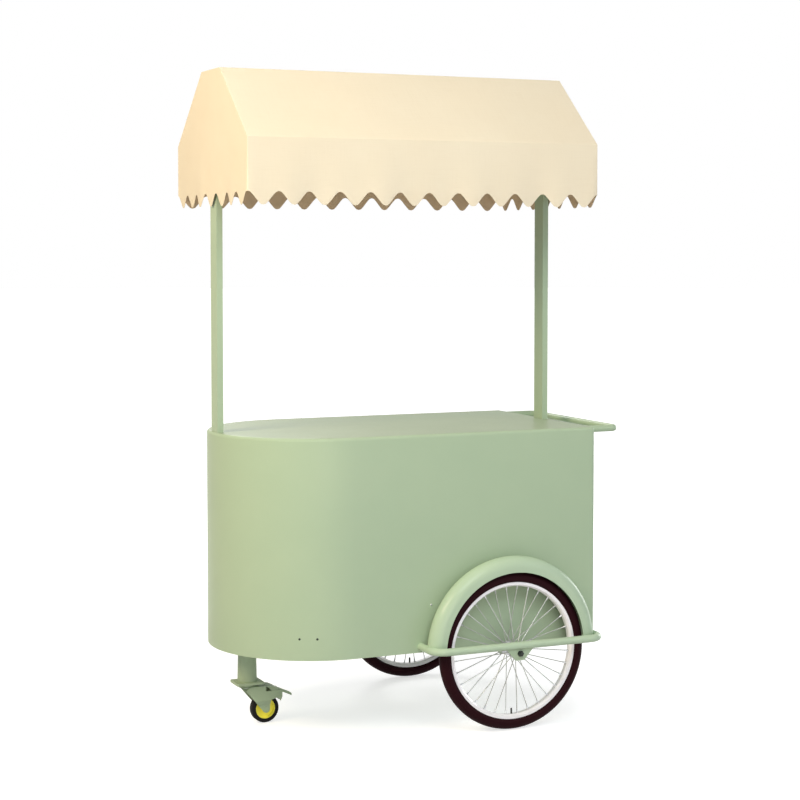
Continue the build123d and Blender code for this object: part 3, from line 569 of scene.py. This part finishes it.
panel_face = 0.542
panel_rows = (0.278, 0.486, 0.694, 0.902)
panel_outer_columns = (-0.320, 0.320)
panel_inner_columns = (-0.107, 0.107)
panel_spots = [(y, z) for y in panel_outer_columns for z in panel_rows]
panel_spots += [(y, z) for y in panel_inner_columns for z in (panel_rows[0], panel_rows[-1])]
placings = [standing((panel_face, y, z), (1, 0, 0)) for y, z in panel_spots]
turned_pieces("panel_screws", flush_head, placings, zinc, "cart")

spoke_count = 32
flange_hole_radius = 0.0185
flange_inner_face = 0.025
flange_outer_face = 0.031


def nipple_placings(axle, mirror):
    """Placings of a wheel's nipples, each on the rim's bed and in line with its spoke."""
    placings = []
    for index in range(spoke_count):
        angle = 2 * pi * (index + 0.5) / spoke_count
        side = 1 if index % 2 else -1
        face = flange_outer_face if (index // 2) % 2 else flange_inner_face
        outward = Vector((cos(angle), 0, sin(angle)))
        foot = rim_bed_radius * outward
        way = flange_hole_radius * outward + Vector((0, side * face, 0)) - foot
        if mirror:
            way.y, foot.y = -way.y, -foot.y
        placings.append(standing(Vector(axle) + foot, way))
    return placings


for name, axle, mirror in (("left", left_axle_point, False), ("right", right_axle_point, True)):
    turned_pieces(name + "_spoke_nipples", nipple, nipple_placings(axle, mirror), zinc,
                  name + "_wheel", sides=8)


# Floor, light and camera

floor_radius = 60
floor_drop = 0.0005
sky_level = 0.3
shown_level = 1.0


def studio_white():
    """Plain white to the camera and to mirrors; near the cart it keeps the shadow that falls on it."""
    ground = Finish("studio_floor", base_color=(0.6, 0.6, 0.6), roughness=0.9, emission_strength=1.0)
    along, across = ground.axes(ground.place())[:2]
    distance = (along * along + across * across) ** 0.5
    rays = ground.node("ShaderNodeLightPath").socket.node.outputs
    camera_ray = Value(ground, rays["Is Camera Ray"])
    glossy_ray = Value(ground, rays["Is Glossy Ray"])
    transmission_ray = Value(ground, rays["Is Transmission Ray"])
    shown = camera_ray.most(glossy_ray).most(transmission_ray)
    ground.feed("Emission Color", shown * (0.61 + 0.41 * distance.rise(0.7, 2.4)))
    return ground.material


floor_mesh = bpy.data.meshes.new("studio_floor")
disc = bmesh.new()
bmesh.ops.create_circle(disc, cap_ends=True, segments=96, radius=floor_radius)
disc.to_mesh(floor_mesh)
disc.free()
floor_mesh.materials.append(studio_white())
studio = bpy.data.objects.new("studio_floor", floor_mesh)
scene.collection.objects.link(studio)
studio.location.z = -floor_drop

# The world is white to the camera and to mirrors, and gives a lower level of light.
world = bpy.data.worlds.new("studio")
scene.world = world
world.use_nodes = True
sky = world.node_tree
sky_light = sky.nodes["Background"]
path = sky.nodes.new("ShaderNodeLightPath")
shown = path.outputs["Is Camera Ray"]
for ray in ("Is Glossy Ray", "Is Transmission Ray"):
    either = sky.nodes.new("ShaderNodeMath")
    either.operation = "MAXIMUM"
    sky.links.new(shown, either.inputs[0])
    sky.links.new(path.outputs[ray], either.inputs[1])
    shown = either.outputs[0]
level = sky.nodes.new("ShaderNodeMapRange")
level.inputs["To Min"].default_value = sky_level
level.inputs["To Max"].default_value = shown_level
sky.links.new(shown, level.inputs["Value"])
sky.links.new(level.outputs[0], sky_light.inputs["Strength"])
sky_light.inputs["Color"].default_value = (1, 1, 1, 1)


def soft_lamp(name, place, aim, size, power, colour):
    """A round lamp at place that points at aim."""
    lamp = bpy.data.lights.new(name, "AREA")
    lamp.shape = "DISK"
    lamp.size = size
    lamp.energy = power
    lamp.color = colour
    stand = bpy.data.objects.new(name, lamp)
    stand.location = place
    stand.rotation_euler = (Vector(aim) - Vector(place)).to_track_quat("-Z", "Y").to_euler()
    scene.collection.objects.link(stand)


soft_lamp("left_lamp", (-3.5, -1.2, 3.2), (-0.3, 0, 1.7), 1.8, 120, (1.0, 0.84, 0.61))
soft_lamp("top_lamp", (-0.8, -3.6, 3.7), (0, 0, 0.8), 2.4, 87, (0.91, 0.97, 1.0))
soft_lamp("back_lamp", (0.4, 4.4, 3.6), (0, 0, 1.1), 2.0, 94, (1.0, 1.0, 1.0))
soft_lamp("rear_lamp", (4.6, 1.6, 1.4), (0.5, 0, 1.1), 2.4, 74, (1.0, 1.0, 1.0))
soft_lamp("fill_lamp", (4.0, -4.6, 3.0), (0.1, 0, 0.9), 3.6, 43, (0.73, 0.79, 1.0))
soft_lamp("front_lamp", (-1.2, -6.2, 1.3), (0.1, 0, 0.7), 2.4, 42, (0.96, 0.96, 1.0))

# The camera is fitted to the photo, tilted down a little and turned to the right.
camera_tilt = 2.929
camera_turn = 23.818
camera = bpy.data.cameras.new("camera")
camera.lens = 83.754
camera.sensor_width = 36
camera.shift_y = -0.075
eye = bpy.data.objects.new("camera", camera)
eye.location = (-2.4955, -5.6386, 1.5454)
eye.rotation_euler = (radians(90 - camera_tilt), 0, radians(-camera_turn))
scene.collection.objects.link(eye)
scene.camera = eye
scene.view_settings.view_transform = "Standard"
